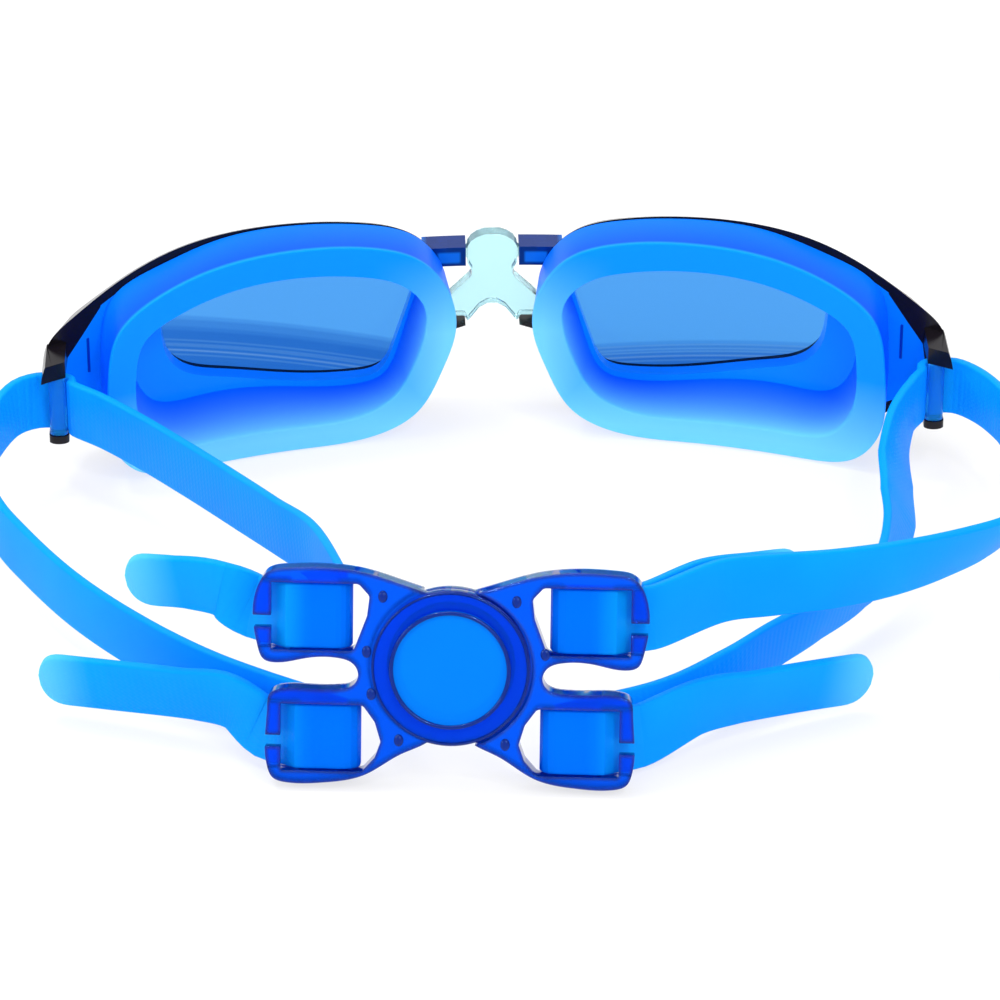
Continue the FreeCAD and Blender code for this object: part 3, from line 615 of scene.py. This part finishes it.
def splitStrap(side, places, swivels):
    # two ends, two runs and a loop; without a swivel the two ends go with the clip, and the rest stay where
    # they are made
    clipOut = firstPast(places, seams[side], firstBehind(places, seams["clip"], 0))
    cupOut = firstPast(places, seams["waist"], clipOut)
    cupIn = firstBehind(places, seams["waist"], cupOut)
    clipIn = firstBehind(places, seams[side], cupIn)
    inner = 1 if swivels else -1
    pieces = [strapPiece(side + "StrapFirstEnd", places[:clipOut + 1], inner),
              strapPiece(side + "StrapFirstRun", places[clipOut:cupOut + 1], inner),
              strapPiece(side + "StrapTempleLoop", places[cupOut:cupIn + 1], inner, side + "_strap"),
              strapPiece(side + "StrapSecondRun", places[cupIn:clipIn + 1], inner),
              strapPiece(side + "StrapSecondEnd", places[clipIn:], inner)]
    if swivels:
        for piece in (pieces[0], pieces[4]):
            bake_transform(piece)
    else:
        for piece in (pieces[0], pieces[4]):
            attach(piece, "clip_left")
    for piece in (pieces[1], pieces[3]):
        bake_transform(piece)
    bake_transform(pieces[2])


splitStrap("left", leftPlaces, False)
splitStrap("right", rightPlaces, True)
print("straps made")

# how far the edges are rounded, mm; a wing breaks up with more, or with the modifier's own clamp
rounding = {"wing": 0.15 * mm, "disc": 0.4 * mm, "retainer": 0.2 * mm, "bridge": 0.35 * mm}
for side in ("left", "right"):
    node = "clip_" + side + "_wing"
    wing = newPiece("clipWing" + side.title(), copyOfNode(node, node), clipPlastic, "clip_blue", node)
    soften(wing, rounding["wing"], 4).modifiers["roundedEdges"].use_clamp_overlap = False
    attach(wing, "clip_" + side)
button = newPiece("clipButton", copyOfNode("clip_disc", "clipButton"), buttonPlastic, "button_blue",
                  "clip_disc")
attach(soften(button, rounding["disc"]), "clip_left")
keeper = newPiece("clipKeeper", copyOfNode("clip_retainer", "clipKeeper"), clipPlastic, "clip_blue",
                  "clip_retainer")
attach(soften(keeper, rounding["retainer"]), "clip_left")


clipTop = clipPlace["thick"] / 2
details = {"buttonBead": 9.7, "beadSize": 0.36, "buttonTop": clipTop + 1.0, "hubBead": 12.8, "hubSize": 0.22,
           "beadSides": 10, "ringParts": 96, "dimple": 1.05, "dimpleShape": (0.75, 1.0, 0.45),
           "dimples": [(-11.2, 12.0), (-13.8, 2.6), (-13.0, -4.6), (-8.4, -12.4), (10.8, 11.6), (15.6, 2.8),
                       (9.2, -12.7)]}


def clipRing(name, finish, slotName, radius, bead, height):
    # a round bead on the clip's front, half sunk into it
    work = bmesh.new()
    start = Matrix.Translation((radius * mm, 0, height * mm)) @ Matrix.Rotation(math.pi / 2, 4, "X")
    bmesh.ops.create_circle(work, segments=details["beadSides"], radius=bead * mm, matrix=start)
    bmesh.ops.spin(work, geom=work.verts[:] + work.edges[:], cent=(0, 0, 0), axis=(0, 0, 1),
                   angle=2 * math.pi, steps=details["ringParts"], use_merge=True)
    bmesh.ops.recalc_face_normals(work, faces=work.faces)
    return clipDetail(name, work, finish, slotName)


def clipDetail(name, work, finish, slotName):
    # a small shape, made in the clip's own frame, set in its place
    mesh = bpy.data.meshes.new(name)
    bmesh.ops.transform(work, matrix=clipFrame, verts=work.verts)
    work.to_mesh(mesh)
    work.free()
    for face in mesh.polygons:
        face.use_smooth = True
    return newPiece(name, mesh, finish, slotName)


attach(clipRing("buttonBead", clipEdge, "button_blue", details["buttonBead"], details["beadSize"],
                 details["buttonTop"]), "clip_left")
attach(clipRing("hubBead", clipEdge, "clip_blue", details["hubBead"], details["hubSize"],
                 clipTop), "clip_left")
for i, (u, v) in enumerate(details["dimples"]):
    work = bmesh.new()
    bmesh.ops.create_icosphere(work, subdivisions=3, radius=details["dimple"] * mm)
    bmesh.ops.scale(work, vec=details["dimpleShape"], verts=work.verts)
    bmesh.ops.transform(work, matrix=Matrix.Translation(Vector((u, v, clipTop)) * mm), verts=work.verts)
    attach(clipDetail("clipDimple%d" % i, work, clipEdge, "clip_blue"),
            "clip_left" if u < 0 else "clip_right")
print("clip made")

# each part of a cup: how far its edges are rounded and in how many steps, its finish and its slot
cupEdges = {"front_shell": (0.4 * mm, 3, shellBlack, "shell_dark"),
            "inner_frame": (0.25 * mm, 3, framePlastic, "frame_blue"),
            "lens": (0.2 * mm, 3, None, "lens_tint"), "gasket": (1.4 * mm, 4, sealSilicone, "seal_silicone"),
            "strap_bar": (0.3 * mm, 3, barPlastic, "bar_clear")}
for side in ("left", "right"):
    for node, (width, segments, finish, slotName) in cupEdges.items():
        name = side + "".join(word.title() for word in node.split("_"))
        piece = newPiece(name, copyOfNode(side + "_" + node, name), finish or lensPlastic[side], slotName,
                         side + "_" + node)
        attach(soften(piece, width, segments), side + "_cup")
ribSize = {"x": 74.15, "low": 19.4, "high": 26.4, "width": 0.5, "radius": 160.1, "depth": 0.5,
           "round": 0.08 * mm}
for side, sign in (("left", -1), ("right", 1)):
    # a short upright rib on the back of the frame, near the temple
    work = bmesh.new()
    bmesh.ops.create_cube(work, size=mm)
    height = ribSize["high"] - ribSize["low"]
    bmesh.ops.scale(work, vec=(ribSize["width"], ribSize["depth"], height), verts=work.verts)
    turn = math.asin(ribSize["x"] / ribSize["radius"])
    bmesh.ops.rotate(work, cent=(0, 0, 0), matrix=Matrix.Rotation(-sign * turn, 3, "Z"), verts=work.verts)
    ahead = cupSize["wrapY"] + ribSize["radius"] * math.cos(turn)
    middle = (ribSize["low"] + ribSize["high"]) / 2
    bmesh.ops.translate(work, vec=fromNose(sign * ribSize["x"], ahead, middle), verts=work.verts)
    mesh = bpy.data.meshes.new(side + "TempleRib")
    work.to_mesh(mesh)
    work.free()
    rib = newPiece(side + "TempleRib", mesh, ribPlastic, "frame_blue")
    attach(soften(rib, ribSize["round"], 2), side + "_cup")
bridge = newPiece("noseBridge", copyOfNode("nose_bridge", "noseBridge"), bridgeRubber, "bridge_clear",
                  "nose_bridge")
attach(soften(bridge, rounding["bridge"]), "bridge")
print("eye cups made")

studio = {"floorSize": 6.0, "floorDrop": 0.0002, "floorShade": (0.93, 0.93, 0.94, 1), "white": (1, 1, 1, 1),
          "floorLight": 1.0, "floorGlow": 0.7, "sky": 0.78}


def studioWhite(made):
    # 1 for the rays that show the background, straight or by way of gloss or clear plastic
    ray = made.node("ShaderNodeLightPath")
    outs = {name: Wire(made, ray.socket.node.outputs[name])
            for name in ("Is Camera Ray", "Is Glossy Ray", "Is Transmission Ray")}
    return (outs["Is Camera Ray"] + outs["Is Glossy Ray"] + outs["Is Transmission Ray"]).clipped()


floorFinish = Finish("studioFloor")
floorShade = floorFinish.node("ShaderNodeBsdfDiffuse", None, {"Color": studio["floorShade"]})
floorLight = floorFinish.node("ShaderNodeEmission", None,
                              {"Color": studio["white"], "Strength": studio["floorLight"]})
floorMix = floorFinish.node("ShaderNodeMixShader", None,
                            {0: studioWhite(floorFinish) * studio["floorGlow"], 1: floorShade, 2: floorLight})
floorFinish.surface(floorMix)
work = bmesh.new()
bmesh.ops.create_grid(work, x_segments=1, y_segments=1, size=studio["floorSize"] / 2)
floorMesh = bpy.data.meshes.new("studioFloor")
work.to_mesh(floorMesh)
work.free()
floor = bpy.data.objects.new("studioFloor", floorMesh)
bpy.context.scene.collection.objects.link(floor)
floorMesh.materials.append(floorFinish.material)
floorMesh.transform(Matrix.Translation((0, 0, -studio["floorDrop"])))

sky = Finish("studioSky", "worlds")
strength = studioWhite(sky) * (1.0 - studio["sky"]) + studio["sky"]
background = sky.node("ShaderNodeBackground", None, {"Color": studio["white"], "Strength": strength})
sky.node("ShaderNodeOutputWorld", None, {"Surface": background})
bpy.context.scene.world = sky.material

lamps = {"overhead": {"at": (-0.15, 0.15, 0.7), "size": 0.5, "power": 2.6},
         "front": {"at": (0.25, -0.6, 0.55), "size": 0.4, "power": 1.9},
         "side": {"at": (-0.6, -0.2, 0.35), "size": 0.3, "power": 1.2},
         "glintLeft": {"at": (-0.25, 0.1, 0.6), "size": 0.06, "power": 0.7},
         "glintRight": {"at": (0.2, -0.35, 0.6), "size": 0.06, "power": 0.7}}
for name, lamp in lamps.items():
    light = bpy.data.lights.new(name, "AREA")
    light.shape, light.size, light.energy = "SQUARE", lamp["size"], lamp["power"]
    holder = bpy.data.objects.new(name, light)
    holder.location = lamp["at"]
    holder.rotation_euler = (-Vector(lamp["at"])).to_track_quat("-Z", "Y").to_euler()
    bpy.context.scene.collection.objects.link(holder)

eye = {"lens": 185.3, "sensor": 36.0, "near": 0.05, "far": 20.0, "azimuth": 2.0, "elevation": 30.0,
       "distance": 0.9, "looksAt": fromNose(-0.876, -20.018, 18.0)}
camera = bpy.data.cameras.new("camera")
camera.lens, camera.sensor_width = eye["lens"], eye["sensor"]
camera.clip_start, camera.clip_end = eye["near"], eye["far"]
azimuth, elevation = math.radians(eye["azimuth"]), math.radians(eye["elevation"])
ahead = Vector((math.sin(azimuth) * math.cos(elevation), math.cos(azimuth) * math.cos(elevation),
                -math.sin(elevation)))
viewer = bpy.data.objects.new("camera", camera)
viewer.location = eye["looksAt"] - ahead * eye["distance"]
viewer.rotation_euler = ahead.to_track_quat("-Z", "Y").to_euler()
bpy.context.scene.collection.objects.link(viewer)
bpy.context.scene.camera = viewer
bpy.context.scene.view_settings.view_transform = "Standard"
print("studio made")
